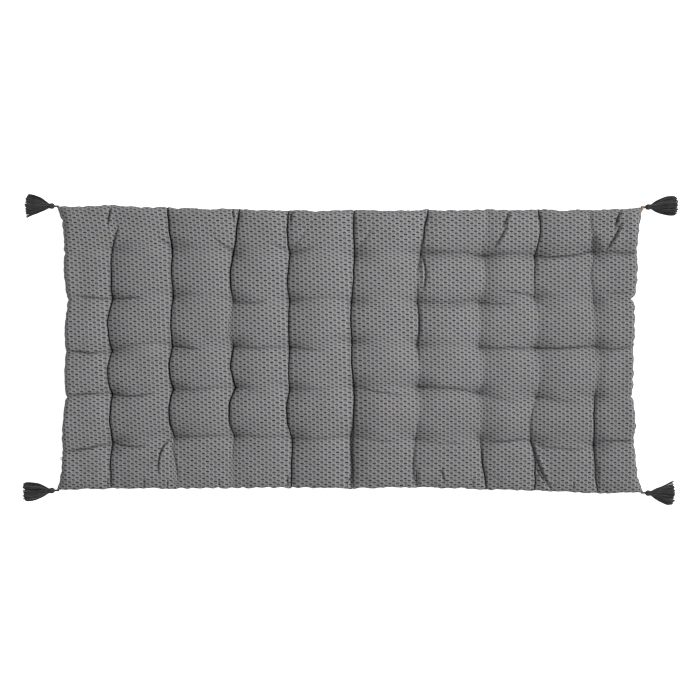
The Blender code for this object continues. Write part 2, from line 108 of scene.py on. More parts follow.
# Loose folds of the cloth that lie beside the creases, each a curve through three places, in
# millimetres. WIDE: from the bottom of the fold to its lip. DEEP: how far it sinks. LIP: the side
# that stands proud, 1 to the left of the way it runs and -1 to the right.
FOLD_COLUMNS = ("START", "MIDDLE", "END", "WIDE", "DEEP", "LIP")
FOLD_ROWS = (
    ((-488, 293), (-492, 277), (-495, 256), 4, 9, 1),
    ((-474, 253), (-480, 230), (-488, 204), 3.5, 5.5, 1),
    ((-242, 290), (-242, 280), (-241, 266), 4, 10, -1),
    ((-116, 287), (-118, 275), (-121, 262), 4, 10, 1),
    ((-396, 229), (-380, 218), (-367, 208), 5, 4, -1),
    ((-284, 231), (-262, 214), (-243, 199), 5, 5, -1),
    ((-169, 217), (-146, 209), (-126, 200), 5, 4, -1),
    ((-121, 200), (-103, 225), (-84, 252), 6, 3, 1),
    ((-119, 199), (-96, 203), (-74, 208), 5, 4, -1),
    ((12, 200), (33, 230), (52, 258), 7, 3, 1),
    ((146, 196), (155, 160), (150, 124), 4, 12, -1),
    ((325, 285), (321, 268), (312, 252), 4.5, 14, 1),
    ((321, 257), (311, 233), (295, 209), 4.5, 11, 1),
    ((385, 288), (384, 276), (383, 262), 4, 9, 1),
    ((490, 280), (493, 252), (498, 222), 6, 3, 1),
    ((556, 286), (549, 272), (543, 252), 4.5, 15, 1),
    ((554, 258), (543, 232), (526, 207), 4.5, 12, 1),
    ((498, 232), (500, 216), (503, 200), 11, 12, 1),
    ((-501, -268), (-500, -277), (-502, -286), 4, 6, 1),
    ((-369, -184), (-389, -211), (-394, -256), 4, 11, -1),
    ((-366, -198), (-358, -232), (-354, -266), 5, 4, 1),
    ((-130, -260), (-131, -272), (-128, -284), 4, 7, 1),
    ((4, -262), (-7, -269), (-10, -281), 4, 8, -1),
    ((138, -248), (138, -266), (138, -285), 4, 8, 1),
    ((184, -240), (190, -256), (196, -279), 3, 7, 1),
    ((373, -190), (389, -236), (412, -287), 4, 13, 1),
    ((384, -243), (392, -258), (402, -277), 3, 8, 1),
    ((504, -230), (510, -250), (511, -284), 4, 5, 1),
    ((-424, -266), (-423, -276), (-425, -286), 4, 6, 1),
    ((-374, -268), (-376, -277), (-375, -286), 4, 5, -1),
    ((-268, -266), (-270, -276), (-267, -285), 5, 5, 1),
    ((249, -266), (251, -276), (248, -285), 4, 3.5, -1),
    ((457, -262), (459, -274), (456, -287), 4, 4, 1),
    ((-569, 110), (-523, 106), (-490, 104), 4, 7, -1),
    ((-486, 104), (-457, 105), (-433, 106), 4, 8, -1),
    ((-363, 108), (-330, 112), (-270, 104), 7, 2, -1),
    ((-239, 95), (-210, 94), (-177, 96), 5, 6, -1),
    ((-122, 98), (-82, 104), (-8, 102), 6, 3, -1),
    ((142, 94), (205, 92), (262, 101), 8, 7, -1),
    ((309, 117), (345, 114), (373, 107), 5, 6, -1),
    ((270, 95), (300, 91), (335, 92), 5, 6, -1),
    ((515, 116), (545, 114), (580, 114), 5, 4, -1),
    ((150, 198), (205, 196), (270, 193), 8, 7, -1),
    ((274, 192), (325, 193), (378, 192), 8, 7, -1),
    ((380, 192), (432, 190), (498, 202), 4, 12, -1),
    ((506, 199), (546, 197), (586, 195), 7, 7, -1),
    ((-584, 0), (-544, -7), (-490, -6), 4, 9, -1),
    ((-486, -4), (-433, 10), (-365, 8), 5, 3, -1),
    ((-363, 7), (-338, 3), (-311, -1), 4, 8, -1),
    ((-239, 4), (-185, 3), (-128, 3), 5, 5, -1),
    ((-121, 3), (-91, 0), (-58, -3), 5, 5, -1),
    ((268, 4), (326, 2), (380, 3), 6, 7, -1),
    ((382, 2), (437, 3), (502, 7), 4, 10, -1),
    ((506, 5), (540, 1), (583, 8), 5, 6, -1),
    ((-579, -94), (-544, -92), (-494, -90), 4, 8, -1),
    ((-486, -93), (-450, -95), (-405, -90), 4, 9, -1),
    ((-363, -86), (-305, -81), (-243, -79), 6, 4, -1),
    ((-119, -86), (-62, -81), (0, -78), 6, 2.5, -1),
    ((8, -76), (62, -88), (119, -94), 4, 6, -1),
    ((142, -77), (190, -80), (264, -90), 7, 7, -1),
    ((268, -95), (321, -104), (371, -100), 7, 4, -1),
    ((381, -98), (432, -108), (494, -105), 8, 6, -1),
    ((-585, -211), (-544, -203), (-492, -194), 4, 9, -1),
    ((-486, -193), (-455, -199), (-420, -197), 4, 9, -1),
    ((-361, -180), (-305, -180), (-243, -180), 6, 5, -1),
    ((-236, -181), (-181, -181), (-124, -181), 7, 4, -1),
    ((-117, -186), (-66, -184), (0, -179), 6, 4, -1),
    ((8, -181), (70, -188), (128, -186), 6, 3, -1),
    ((136, -186), (198, -195), (264, -190), 6, 3.5, -1),
    ((272, -193), (321, -188), (366, -187), 4, 7, -1),
    ((379, -196), (437, -205), (499, -202), 5, 6, -1),
    ((508, -190), (548, -186), (585, -188), 4, 7, -1),
)
FOLDS = [dict(zip(FOLD_COLUMNS, row)) for row in FOLD_ROWS]


def cell_and_share(value, cells):
    """The cell that each value lies in, and how far across that cell it is, from 0 to 1."""
    cell = np.clip(np.floor(value), 0, cells - 1).astype(int)
    return cell, value - cell


def bowed(knots, bows, value):
    """A straight line between knots, plus half a sine wave, as high as the bow, over each stretch."""
    cell, share = cell_and_share(value, len(bows))
    straight = np.interp(value, np.arange(len(knots)), knots)
    return straight + np.array(bows)[cell] * np.sin(math.pi * share)


def plan(a, b):
    """Place from above, in millimetres. a counts cells from the left end and b from the far side.
    X is read straight across between the two upright lines beside the point, and Y between the two
    cross lines."""
    column, across = cell_and_share(a, CELLS_LONG)
    row, along = cell_and_share(b, CELLS_WIDE)
    lines_x = np.array([bowed(line["X"], line["BOW"], b) for line in UPRIGHT_LINES])
    sags = [[-line["SAG"]] * CELLS_LONG for line in CROSS_LINES]
    lines_y = np.array([bowed(line["Y"], sag, a) for line, sag in zip(CROSS_LINES, sags)])
    left = np.take_along_axis(lines_x, column[None], 0)[0]
    right = np.take_along_axis(lines_x, column[None] + 1, 0)[0]
    far = np.take_along_axis(lines_y, row[None], 0)[0]
    near = np.take_along_axis(lines_y, row[None] + 1, 0)[0]
    return left + (right - left) * across, far + (near - far) * along


def along_line(lines, name, nearest, value):
    """The nearest line's own value, straight between the middles of its stretches."""
    middles = np.arange(len(lines[0][name])) + 0.5
    values = np.array([np.interp(value, middles, line[name]) for line in lines])
    return np.take_along_axis(values, nearest[None], 0)[0]


def shoulder(distance, reach):
    """1 in a crease and 0 beyond its reach, by a quarter circle that stands upright in the crease."""
    out = np.clip(distance / reach, 0, 1)
    return 1 - np.sqrt(1 - (1 - out) ** 2)


def dip(distance, reach, rounded):
    """1 in a soft crease and 0 beyond its reach, by a shoulder whose bottom is rounded off."""
    return shoulder(np.sqrt(distance**2 + rounded**2), reach)


def bell(distance, width):
    """A bell curve: 1 at no distance, and exp(-1) at the width."""
    return np.exp(-((distance / width) ** 2))


def fade(distance, reach):
    """1 at no distance, and less by a factor e for each reach."""
    return np.exp(-distance / reach)


def waves(x, y, length, seed, count=14):
    """Even unevenness, mostly from -1 to 1: the sum of a few sine waves that run all ways and are about
    as long as the length, divided by the root of their number."""
    chance = np.random.default_rng(seed)
    total = np.zeros_like(x)
    for _ in range(count):
        turn, start = chance.uniform(0, 2 * math.pi, 2)
        stretch = length * chance.uniform(0.7, 1.5)
        total += np.sin(2 * math.pi * (x * math.cos(turn) + y * math.sin(turn)) / stretch + start)
    return total / math.sqrt(count)


def fold_shape(x, y, fold):
    """How far one fold moves the cloth, in X, Y and Z. Down: a trough across the fold, minus a bell
    curve as wide as WIDE, with a soft lip of a fifth of its depth beside it. Sideways: the walls of a
    narrow fold lean in by 0.4 of their distance from its line. It starts from nothing at both ends."""
    start, middle, end = (np.array(fold[name], float) for name in FOLD_COLUMNS[:3])
    steps = np.linspace(0, 1, 25)[:, None]
    bend = 2 * middle - (start + end) / 2
    route = (1 - steps) ** 2 * start + 2 * steps * (1 - steps) * bend + steps**2 * end
    reach = 5 * fold["WIDE"]
    near = (x > route[:, 0].min() - reach) & (x < route[:, 0].max() + reach)
    near &= (y > route[:, 1].min() - reach) & (y < route[:, 1].max() + reach)
    offset = np.stack([x[near], y[near]], -1)[:, None] - route
    closest = np.hypot(offset[..., 0], offset[..., 1]).argmin(1)
    here = offset[np.arange(len(closest)), closest]
    way = np.gradient(route, axis=0)[closest]
    way /= np.hypot(way[:, 0], way[:, 1])[:, None]
    left_of = way[:, 0] * here[:, 1] - way[:, 1] * here[:, 0]
    beyond = np.abs((way * here).sum(1)) / fold["WIDE"]
    taper = np.sin(math.pi * np.clip(closest / 24 * 0.86 + 0.07, 0, 1)) ** 0.7 * bell(beyond, 1)
    side = left_of / fold["WIDE"]
    trough = -bell(side, 0.62)
    lip = 0.2 * bell(side - 1.25 * fold["LIP"], 0.8)
    inward = 0.4 * left_of * bell(side, 1) * taper * np.clip(4 - fold["WIDE"] / 2, 0, 1)
    moved = np.zeros((*x.shape, 3))
    down = fold["DEEP"] * taper * (trough + lip)
    moved[near] = np.stack([way[:, 1] * inward, -way[:, 0] * inward, down], -1)
    return moved


def gathers(a, b, near_column, near_row, tufted):
    """Height of the small pleats that fan out from each tuft: seven uneven waves round it, highest
    11 mm out, by r/11 exp(1 - r/11)."""
    along_x = (a - near_column) * CELL_LONG
    along_y = (near_row - b) * CELL_WIDE
    out = np.hypot(along_x, along_y) / GATHER_REACH
    turn = np.arctan2(along_y, along_x)
    start = 12.9 * near_column + 7.3 * near_row
    fan = np.sin(7 * turn + start) + 0.7 * np.sin(4 * turn + 2.1 * start) + 0.5 * np.sin(11 * turn - start)
    return np.where(tufted, GATHER_HEIGHT * fan * out * np.exp(1 - out), 0)


# The small pleats round a tuft.
GATHER_HEIGHT = 0.55
GATHER_REACH = 11

# The creases. SHOULDER: how far the cloth rounds over beside one. DEEPER: what the tables' depths are
# multiplied by. A shut crease ends in a slit and leans over it; an open one has a rounded bottom.
UPRIGHT_SHOULDER = 58
UPRIGHT_DEEPER = 1.4
CROSS_SHOULDER = 48
CROSS_DEEPER = 2.1
SLIT_DEPTH = 24
SLIT_WIDTH = 2.1
CROSS_SLIT_DEPTH = 9
CROSS_SLIT_WIDTH = 1.8
CROSS_ROUNDED = 7
OPEN_ROUNDED = 6
OPEN_UP_TO = 0.6
CLOSED_CREASE = 2.2
LEAN_REACH = 6
WAVER_REACH = 16

# The dimples round the tufts, the crowns and the underside, which the floor presses flat.
TUFT_LOWER = 8
TUFT_REACH_ALONG = 54
TUFT_REACH_ACROSS = 32
CROWN_UNEVENNESS = 4
NEAR_LOWER = 14
UNDERSIDE_CREASE = 0.5
UNDERSIDE_PRESS = 2.5
THINNEST = 2

# The round edge and the seam.
EDGE_ROLL_TOP = 16
CORNER_ROLL_TOP = 14
NEAR_ROLL_TOP = 12
CORNER_ROLL_SPREAD = 50
EDGE_ROLL_UNDERSIDE = 26
CORNER_DROP = 150
SEAM_INSET = 1.8
SEAM_GROOVE = 0.15
PUCKER = 1.1
PUCKER_REACH = 14
PINCH_WIDE = 4
PINCH_REACH = 12
CORNER_TIP = 3
CORNER_TIP_REACH = 9
HEM_RIPPLE = 1.0
HEM_REACH = 15

# Where the two end seams are pinched in: the end, -1 left or 1 right, the Y and how far.
PINCHES = (
    (-1, 264, 3), (-1, 197, 1.5), (-1, 103, 2.5), (-1, -4, 1.5), (-1, -98, 2.5), (-1, -206, 1.5),
    (1, 195, 1.5), (1, 104, 6), (1, 7, 2), (1, -96, 2.5), (1, -184, 2), (1, -262, 3),
)


def cover_panels(a, b):
    """The upper and the lower panel, as arrays of X, Y and Z in millimetres.
    Upper height = crown - creases - slits - tuft pull + folds + pleats + unevenness, brought down to the
    seam by a quarter circle at the edge, a wider one near a corner and along the near side. Lower height
    = half the creases + tuft pull, pressed flat at zero. A shut crease ends in a slit,
    exp(-(d/width)^2). Beside it the cloth leans over, by d exp(1 - d/6) / 6, which shuts it to a
    line."""
    column, across = cell_and_share(a, CELLS_LONG)
    row, along = cell_and_share(b, CELLS_WIDE)
    x, y = plan(a, b)
    near_column = np.rint(a).astype(int)
    near_row = np.rint(b).astype(int)
    to_upright = np.abs(a - near_column) * CELL_LONG
    to_cross = np.abs(b - near_row) * CELL_WIDE
    upright_depth = along_line(UPRIGHT_LINES, "DEPTH", near_column, b)
    cross_depth = along_line(CROSS_LINES, "DEPTH", near_row, a)
    tufted = (upright_depth > 0) & (cross_depth > 0)
    to_end = np.minimum(a, CELLS_LONG - a) * CELL_LONG
    to_side = np.minimum(b, CELLS_WIDE - b) * CELL_WIDE

    # These set one crease's waves apart from the next one's.
    row_apart = 90.0 * near_row
    column_apart = 120.0 * near_column

    share = (1 + np.sin(2.3 * column + 1.7 * row)) / 2
    middle = np.sin(math.pi * across) * np.sin(math.pi * along)
    crown = THICKNESS - CROWN_UNEVENNESS * share * middle
    crown = crown - NEAR_LOWER * np.clip(b - CELLS_WIDE + 1.5, 0, None)
    upright_shut = np.clip(along_line(UPRIGHT_LINES, "SHUT", near_column, b), 0, None)
    rounded = OPEN_ROUNDED * np.clip(1 - upright_shut / OPEN_UP_TO, 0, 1)
    creases = UPRIGHT_DEEPER * upright_depth * dip(to_upright, UPRIGHT_SHOULDER, rounded)
    creases = creases + CROSS_DEEPER * cross_depth * dip(to_cross, CROSS_SHOULDER, CROSS_ROUNDED)
    near_tuft = np.abs(2 * across - 1)
    broken = np.clip(0.6 + 0.5 * waves(x, row_apart, 30, 19), 0, 1.2) * np.where(across < 0.5, 1, 0.6)
    cross_shut = np.clip((cross_depth - 1) / 8, 0, 1.3) * near_tuft**3 * broken
    slit_width = SLIT_WIDTH * (1 + 0.35 * tufted * fade(to_cross, 9))
    slit_width = slit_width * (1 + 0.15 * np.clip(upright_depth - 18, 0, None))
    slits = SLIT_DEPTH * upright_shut * bell(to_upright, slit_width)
    cross_slits = CROSS_SLIT_DEPTH * cross_shut * bell(to_cross, CROSS_SLIT_WIDTH)
    slits = np.maximum(slits, cross_slits)
    to_tuft = np.hypot(to_upright / TUFT_REACH_ALONG, to_cross / TUFT_REACH_ACROSS)
    pull = np.where(tufted, np.clip(1 - to_tuft, 0, 1) ** 2, 0)
    tight = np.clip((upright_depth + cross_depth) / 24, 0.6, 1)
    to_tuft_top = (THICKNESS - TUFT_TOP + TUFT_LOWER) * tight - upright_depth - cross_depth
    upper = crown - creases - slits - np.clip(to_tuft_top, 0, None) * pull
    folded = sum(fold_shape(x, y, fold) for fold in FOLDS)
    upper = upper + folded[..., 2]
    upper = upper + gathers(a, b, near_column, near_row, tufted)
    side_ripple = HEM_RIPPLE * (1 + (b > CELLS_WIDE / 2)) * waves(x, row_apart, 15, 23)
    end_ripple = HEM_RIPPLE * waves(90.0 * near_column, y, 17, 24)
    upper = upper + side_ripple * fade(to_side, HEM_REACH)
    upper = upper + end_ripple * fade(to_end, HEM_REACH)
    upper = upper + 0.9 * waves(x, y, 70, 3) * middle + 0.45 * waves(x, y, 26, 5) + 0.12 * waves(x, y, 11, 6)

    to_tuft_under = TUFT_UNDERSIDE - UNDERSIDE_CREASE * (upright_depth + cross_depth)
    lower = UNDERSIDE_CREASE * creases + np.clip(to_tuft_under, 0, None) * pull
    lower = np.clip(lower + 0.3 * waves(x, y, 40, 8) - UNDERSIDE_PRESS, 0, None)
    upper = np.maximum(upper, lower + THINNEST)

    rise = np.clip(np.hypot(to_end, to_side) / CORNER_DROP, 0, 1)
    seam = CORNER_HEIGHT + (SEAM_HEIGHT - CORNER_HEIGHT) * np.sin(rise * math.pi / 2)
    end_reach = EDGE_ROLL_TOP + CORNER_ROLL_TOP * bell(to_side, CORNER_ROLL_SPREAD)
    side_reach = EDGE_ROLL_TOP + CORNER_ROLL_TOP * bell(to_end, CORNER_ROLL_SPREAD)
    side_reach = side_reach + NEAR_ROLL_TOP * (b > CELLS_WIDE / 2)
    upper_roll = (1 - shoulder(to_end, end_reach)) * (1 - shoulder(to_side, side_reach))
    lower_roll = 1 - shoulder(to_end, EDGE_ROLL_UNDERSIDE)
    lower_roll = lower_roll * (1 - shoulder(to_side, EDGE_ROLL_UNDERSIDE))

    beside, above = to_upright / LEAN_REACH, to_cross / LEAN_REACH
    lean_x = np.sign(near_column - a) * CLOSED_CREASE * upright_shut * beside * np.exp(1 - beside)
    lean_y = np.sign(b - near_row) * 0.6 * CLOSED_CREASE * cross_shut * above * np.exp(1 - above)
    lean_x = lean_x + folded[..., 0]
    lean_y = lean_y + folded[..., 1]

    # The creases waver by a millimetre or two between the tufts.
    waver = (1 - near_tuft**2) * fade(to_cross, WAVER_REACH) * (cross_depth > 0)
    lean_y = lean_y + waver * 1.5 * waves(x, row_apart, 45, 15)
    waver = (1 - np.abs(2 * along - 1) ** 2) * fade(to_upright, WAVER_REACH) * (upright_depth > 0)
    lean_x = lean_x + waver * 0.9 * waves(column_apart, y, 38, 16)
    waver = fade(to_upright, 7) * (upright_depth > 0)
    lean_x = lean_x + waver * 0.6 * waves(column_apart, y, 11, 17)

    # The seam lies in a shallow groove, and the cloth beside it puckers a little. The ties draw the
    # corners out to a tip.
    pucker = PUCKER * waves(x, y, 17, 11)
    end_in = SEAM_INSET * fade(to_end, SEAM_GROOVE) + pucker * fade(to_end, PUCKER_REACH)
    for end, place, depth in PINCHES:
        at_end = (np.sign(a - CELLS_LONG / 2) == end) * fade(to_end, PINCH_REACH)
        end_in = end_in + depth * bell(y - place, PINCH_WIDE) * at_end
    side_in = SEAM_INSET * fade(to_side, SEAM_GROOVE) + pucker * fade(to_side, PUCKER_REACH)
    from_corner = np.hypot(to_end, to_side)
    keep_corner = np.clip(from_corner / 12, 0, 1)
    tip = CORNER_TIP * fade(from_corner, CORNER_TIP_REACH)
    inset_x = np.where(a < CELLS_LONG / 2, 1, -1) * (end_in * keep_corner - tip)
    inset_y = np.where(b < CELLS_WIDE / 2, -1, 1) * side_in * keep_corner
    top = np.stack([x + lean_x + inset_x, y + lean_y + inset_y, seam + (upper - seam) * upper_roll], -1)
    under = np.stack([x + inset_x, y + inset_y, seam - (seam - lower) * lower_roll], -1)
    return top, under


# The grid of the cover. STEPS: in each cell, along and across. CROWDING: how much closer the steps lie
# at the creases, from 0 to 1. FINE: parts of a step where a fold sinks more than FOLD_SHOWS. COARSE:
# steps of the upper panel to one of the underside.
STEPS_LONG = 36
STEPS_WIDE = 24
CROWDING_LONG = 0.73
CROWDING_WIDE = 0.35
COARSE = 3
FINE = 3
FOLD_SHOWS = 2


def stations(cells, steps, crowding):
    """Places along the cells, crowded at the creases by a sine, and more so at the two seams."""
    even = np.arange(steps) / steps
    edge_share = (1 - np.cos(math.pi * even)) / 2
    inner_share = even - crowding * np.sin(2 * math.pi * even) / (2 * math.pi)
    inner = [cell + inner_share for cell in range(1, cells - 1)]
    return np.concatenate([edge_share, *inner, cells - 1 + edge_share, [cells]])


def add_object(name, data):
    """A new object at the origin, in the scene."""
    made = bpy.data.objects.new(name, data)
    bpy.context.scene.collection.objects.link(made)
    return made


def make_piece(name, points, faces):
    """A new smooth object from points in metres and lists of point numbers."""
    mesh = bpy.data.meshes.new(name)
    mesh.from_pydata(points.tolist(), [], faces)
    mesh.polygons.foreach_set("use_smooth", np.ones(len(mesh.polygons), bool))
    mesh.update()
    return add_object(name, mesh)


def add_map(piece, per_point):
    """A UV map from one pair of numbers for each point."""
    corner_points = np.zeros(len(piece.data.loops), int)
    piece.data.loops.foreach_get("vertex_index", corner_points)
    layer = piece.data.uv_layers.new(name="cloth")
    layer.uv.foreach_set("vector", per_point[corner_points].astype(np.float32).ravel())


REPEAT_ACROSS = 16.2
REPEAT_UP = 10.55

# The cloth wasn't drawn in evenly, so the print runs off its straight lines. These are added to each
# point's place on the cloth, in millimetres. Along it: LEAN_START, less LEAN at the left end, which grows
# from the far side down to the share LEAN_STOPS of the width, and CORNER_TUG at the far left corner. Up
# it: less END_SAG at the left end and END_SAG_NEAR more at its near side, BELLY round a line that runs
# down the cloth right of its middle, and RIGHT_RISE at the right end.
LEAN_START = 7
LEAN = 26
LEAN_STOPS = 0.83
CORNER_TUG = 15
TUG_REACH = 0.5
END_SAG = 6
END_SAG_NEAR = 19
END_SAG_WIDE = 0.22
BELLY = 9
BELLY_FAR = 0.75
BELLY_TURN = 0.2
BELLY_WIDE = 0.2
RIGHT_RISE = 3


def print_drift(a, b):
    """What is added along the cloth and up it at a and b. Along: the start, less the lean times the share
    down and the share left of the right end, plus the tug, which fades within half a cell. Up: less a bell
    curve from the left end, plus a bell curve round the belly's line and an even rise to the right."""
    right = a / CELLS_LONG
    down = b / CELLS_WIDE
    along = LEAN_START - LEAN * np.minimum(down, LEAN_STOPS) * (1 - right)
    along = along + CORNER_TUG * fade(b, TUG_REACH) * (1 - right) ** 3
    sag = (END_SAG + END_SAG_NEAR * down) * bell(right, END_SAG_WIDE)
    belly = BELLY * bell(right - BELLY_FAR + BELLY_TURN * down, BELLY_WIDE)
    return along, belly - sag + RIGHT_RISE * right


def hidden_cloth(points, axis, places, repeat):
    """Cloth that creases and slopes hide from above, added up along one direction of the grid: each
    step's length less its length in plan, averaged over the other direction. The whole repeats of the
    print that a crease hides are left out."""
    step = np.diff(points, axis=axis)
    spare = np.linalg.norm(step, axis=-1) - np.abs(step[..., axis])
    total = np.concatenate([[0], np.cumsum(spare.mean(axis=1 - axis))])
    at_middles = np.interp(np.arange(places[-1]) + 0.5, places, total)
    hidden = total - total[-1] / 2
    for before, after in zip(at_middles[:-1], at_middles[1:]):
        repeats = math.floor((after - before) / repeat)
        hidden = hidden - repeats * repeat * np.clip((total - before) / (after - before), 0, 1)
    return hidden


across_stations = stations(CELLS_LONG, STEPS_LONG, CROWDING_LONG)
up_stations = stations(CELLS_WIDE, STEPS_WIDE, CROWDING_WIDE)

# Each cell of this grid is one face, or nine smaller ones where a fold crosses it. A whole face takes
# in the two points on each side that it shares with a divided one.
grid_b, grid_a = np.meshgrid(up_stations, across_stations, indexing="ij")
grid_x, grid_y = plan(grid_a, grid_b)
folded = sum(np.abs(fold_shape(grid_x, grid_y, fold)[..., 2]) for fold in FOLDS) > FOLD_SHOWS
divided = folded[:-1, :-1] | folded[1:, :-1] | folded[1:, 1:] | folded[:-1, 1:]


def finer(places):
    """The places, with even steps between each two of them."""
    count = len(places)
    return np.interp(np.arange(FINE * (count - 1) + 1) / FINE, np.arange(count), places)


all_up, all_across = finer(up_stations), finer(across_stations)
top_b, top_a = np.meshgrid(all_up, all_across, indexing="ij")
index = np.arange(top_a.size).reshape(top_a.shape)
small = np.repeat(np.repeat(divided, FINE, 0), FINE, 1)
small_faces = np.stack([index[:-1, :-1], index[1:, :-1], index[1:, 1:], index[:-1, 1:]], -1)[small]
beside = np.pad(divided, 1)
inner = range(1, FINE)
whole = [index[:-1:FINE, :-1:FINE]]
whole += [np.where(beside[1:-1, :-2], index[k::FINE, :-1:FINE], -1) for k in inner]
whole += [index[FINE::FINE, :-1:FINE]]
whole += [np.where(beside[2:, 1:-1], index[FINE::FINE, k::FINE], -1) for k in inner]
whole += [index[FINE::FINE, FINE::FINE]]
whole += [np.where(beside[1:-1, 2:], index[FINE - k::FINE, FINE::FINE], -1) for k in inner]
whole += [index[:-1:FINE, FINE::FINE]]
whole += [np.where(beside[:-2, 1:-1], index[:-1:FINE, FINE - k::FINE], -1) for k in inner]
whole_faces = np.stack(whole, -1)[~divided]
used = np.zeros(index.size, bool)
used[small_faces] = True
used[whole_faces[whole_faces >= 0]] = True
number = np.where(used, np.cumsum(used) - 1, -1)
whole_faces = np.where(whole_faces < 0, -1, number[whole_faces])
cover_faces = number[small_faces].tolist() + [[p for p in face if p >= 0] for face in whole_faces.tolist()]
number = number.reshape(index.shape)
top_a, top_b = top_a.ravel()[used], top_b.ravel()[used]

# The underside has one point for every three steps of the upper panel each way, and takes all of its
# points at the seam.
coarse_rows, coarse_columns = (
    np.append(np.arange(0, last, COARSE), last) for last in (len(up_stations) - 1, len(across_stations) - 1)
)
under_index = np.zeros((len(coarse_rows), len(coarse_columns)), int)
inside = under_index[1:-1, 1:-1]
inside[:] = len(top_a) + np.arange(inside.size).reshape(inside.shape)
far_seam, near_seam, left_seam, right_seam = number[0], number[-1], number[:, 0], number[:, -1]
under_index[0], under_index[-1] = far_seam[coarse_columns * FINE], near_seam[coarse_columns * FINE]
under_index[:, 0], under_index[:, -1] = left_seam[coarse_rows * FINE], right_seam[coarse_rows * FINE]


def on_seam(seam, start, end):
    """The seam's points between two stations."""
    return [point for point in seam[start * FINE + 1:end * FINE].tolist() if point >= 0]


last_row, last_column = len(coarse_rows) - 2, len(coarse_columns) - 2
for row, column in np.ndindex(last_row + 1, last_column + 1):
    up, down = coarse_rows[row], coarse_rows[row + 1]
    left, right = coarse_columns[column], coarse_columns[column + 1]
    face = [under_index[row, column]]
    face += on_seam(far_seam, left, right) if row == 0 else []
    face += [under_index[row, column + 1]]
    face += on_seam(right_seam, up, down) if column == last_column else []
    face += [under_index[row + 1, column + 1]]
    face += on_seam(near_seam, left, right)[::-1] if row == last_row else []
    face += [under_index[row + 1, column]]
    face += on_seam(left_seam, up, down)[::-1] if column == 0 else []
    cover_faces.append(face)
under_up, under_across = up_stations[coarse_rows[1:-1]], across_stations[coarse_columns[1:-1]]
under_b, under_a = np.meshgrid(under_up, under_across, indexing="ij")
cover_a = np.concatenate([top_a, under_a.ravel()])
cover_b = np.concatenate([top_b, under_b.ravel()])
cover_top, cover_under = cover_panels(cover_a, cover_b)
is_top = np.arange(len(cover_a)) < len(top_a)
cover = make_piece("printed_cover", np.where(is_top[:, None], cover_top, cover_under) * MM, cover_faces)

plain_a, plain_b = np.meshgrid(across_stations, up_stations, indexing="ij")
plain_top, _ = cover_panels(plain_a, plain_b)
plan_x, plan_y = plan(cover_a, cover_b)
hidden_across = hidden_cloth(plain_top, 0, across_stations, REPEAT_ACROSS)
hidden_up = hidden_cloth(plain_top, 1, up_stations, REPEAT_UP)
cloth_u = plan_x + np.interp(cover_a, across_stations, hidden_across)
cloth_v = plan_y - np.interp(cover_b, up_stations, hidden_up)
drift_along, drift_up = print_drift(cover_a, cover_b)
cloth_u = (cloth_u + drift_along) / REPEAT_ACROSS
cloth_v = (cloth_v + drift_up) / REPEAT_UP
add_map(cover, np.stack([cloth_u, cloth_v], -1))


def calc(tree, operation, *values, kind="ShaderNodeMath"):
    """The result of one Math or Vector Math node. Each value is a number, three numbers or another
    node's result."""
    node = tree.nodes.new(kind)
    node.operation = operation
    for socket, value in zip(node.inputs, values):
        if isinstance(value, bpy.types.NodeSocket):
            tree.links.new(value, socket)
        else:
            socket.default_value = value
    return node.outputs[0]


def sums(tree):
    """Adding, subtracting, multiplying and dividing in one tree, each by a Math node."""
    return [partial(calc, tree, name) for name in ("ADD", "SUBTRACT", "MULTIPLY", "DIVIDE")]


def ramp(tree, value, low, high):
    """0 below low and 1 above high, with soft ends; high may be the smaller one."""
    node = tree.nodes.new("ShaderNodeMapRange")
    node.interpolation_type = "SMOOTHSTEP"
    tree.links.new(value, node.inputs["Value"])
    node.inputs["From Min"].default_value = min(low, high)
    node.inputs["From Max"].default_value = max(low, high)
    node.inputs["To Min"].default_value = 0.0 if low < high else 1.0
    node.inputs["To Max"].default_value = 1.0 if low < high else 0.0
    return node.outputs["Result"]


def blend_colour(tree, share, first, second):
    """The first colour where the share is 0 and the second where it is 1."""
    node = tree.nodes.new("ShaderNodeMix")
    node.data_type = "RGBA"
    tree.links.new(share, node.inputs["Factor"])
    for name, colour in (("A", first), ("B", second)):
        socket = next(s for s in node.inputs if s.name == name and s.type == "RGBA")
        if isinstance(colour, bpy.types.NodeSocket):
            tree.links.new(colour, socket)
        else:
            socket.default_value = (*colour, 1.0)
    return next(s for s in node.outputs if s.type == "RGBA")


def noise(tree, place, scale, detail=2.0, output="Fac"):
    """Even noise from 0 to 1 at the place times the scale, or three such noises as a colour."""
    node = tree.nodes.new("ShaderNodeTexNoise")
    node.inputs["Scale"].default_value = scale
    node.inputs["Detail"].default_value = detail
    tree.links.new(place, node.inputs["Vector"])
    return node.outputs[output]


def new_material(name):
    """A material, its tree and its shader."""
    made = bpy.data.materials.new(name)
    made.use_nodes = True
    return made, made.node_tree, made.node_tree.nodes["Principled BSDF"]


def cloth_map(tree):
    """The piece's own UV map."""
    node = tree.nodes.new("ShaderNodeUVMap")
    node.uv_map = "cloth"
    return node.outputs["UV"]


def two_numbers(tree, place):
    """The first two numbers of a place."""
    node = tree.nodes.new("ShaderNodeSeparateXYZ")
    tree.links.new(place, node.inputs["Vector"])
    return node.outputs["X"], node.outputs["Y"]


def add_relief(tree, shader, height, strength, distance):
    """Bump on the shader, with the distance in metres."""
    bump = tree.nodes.new("ShaderNodeBump")
    bump.inputs["Strength"].default_value = strength
    bump.inputs["Distance"].default_value = distance
    tree.links.new(height, bump.inputs["Height"])
    tree.links.new(bump.outputs["Normal"], shader.inputs["Normal"])


def set_sockets(shader, values):
    """Sets the shader's own sockets, by name."""
    for name, value in values.items():
        shader.inputs[name].default_value = value


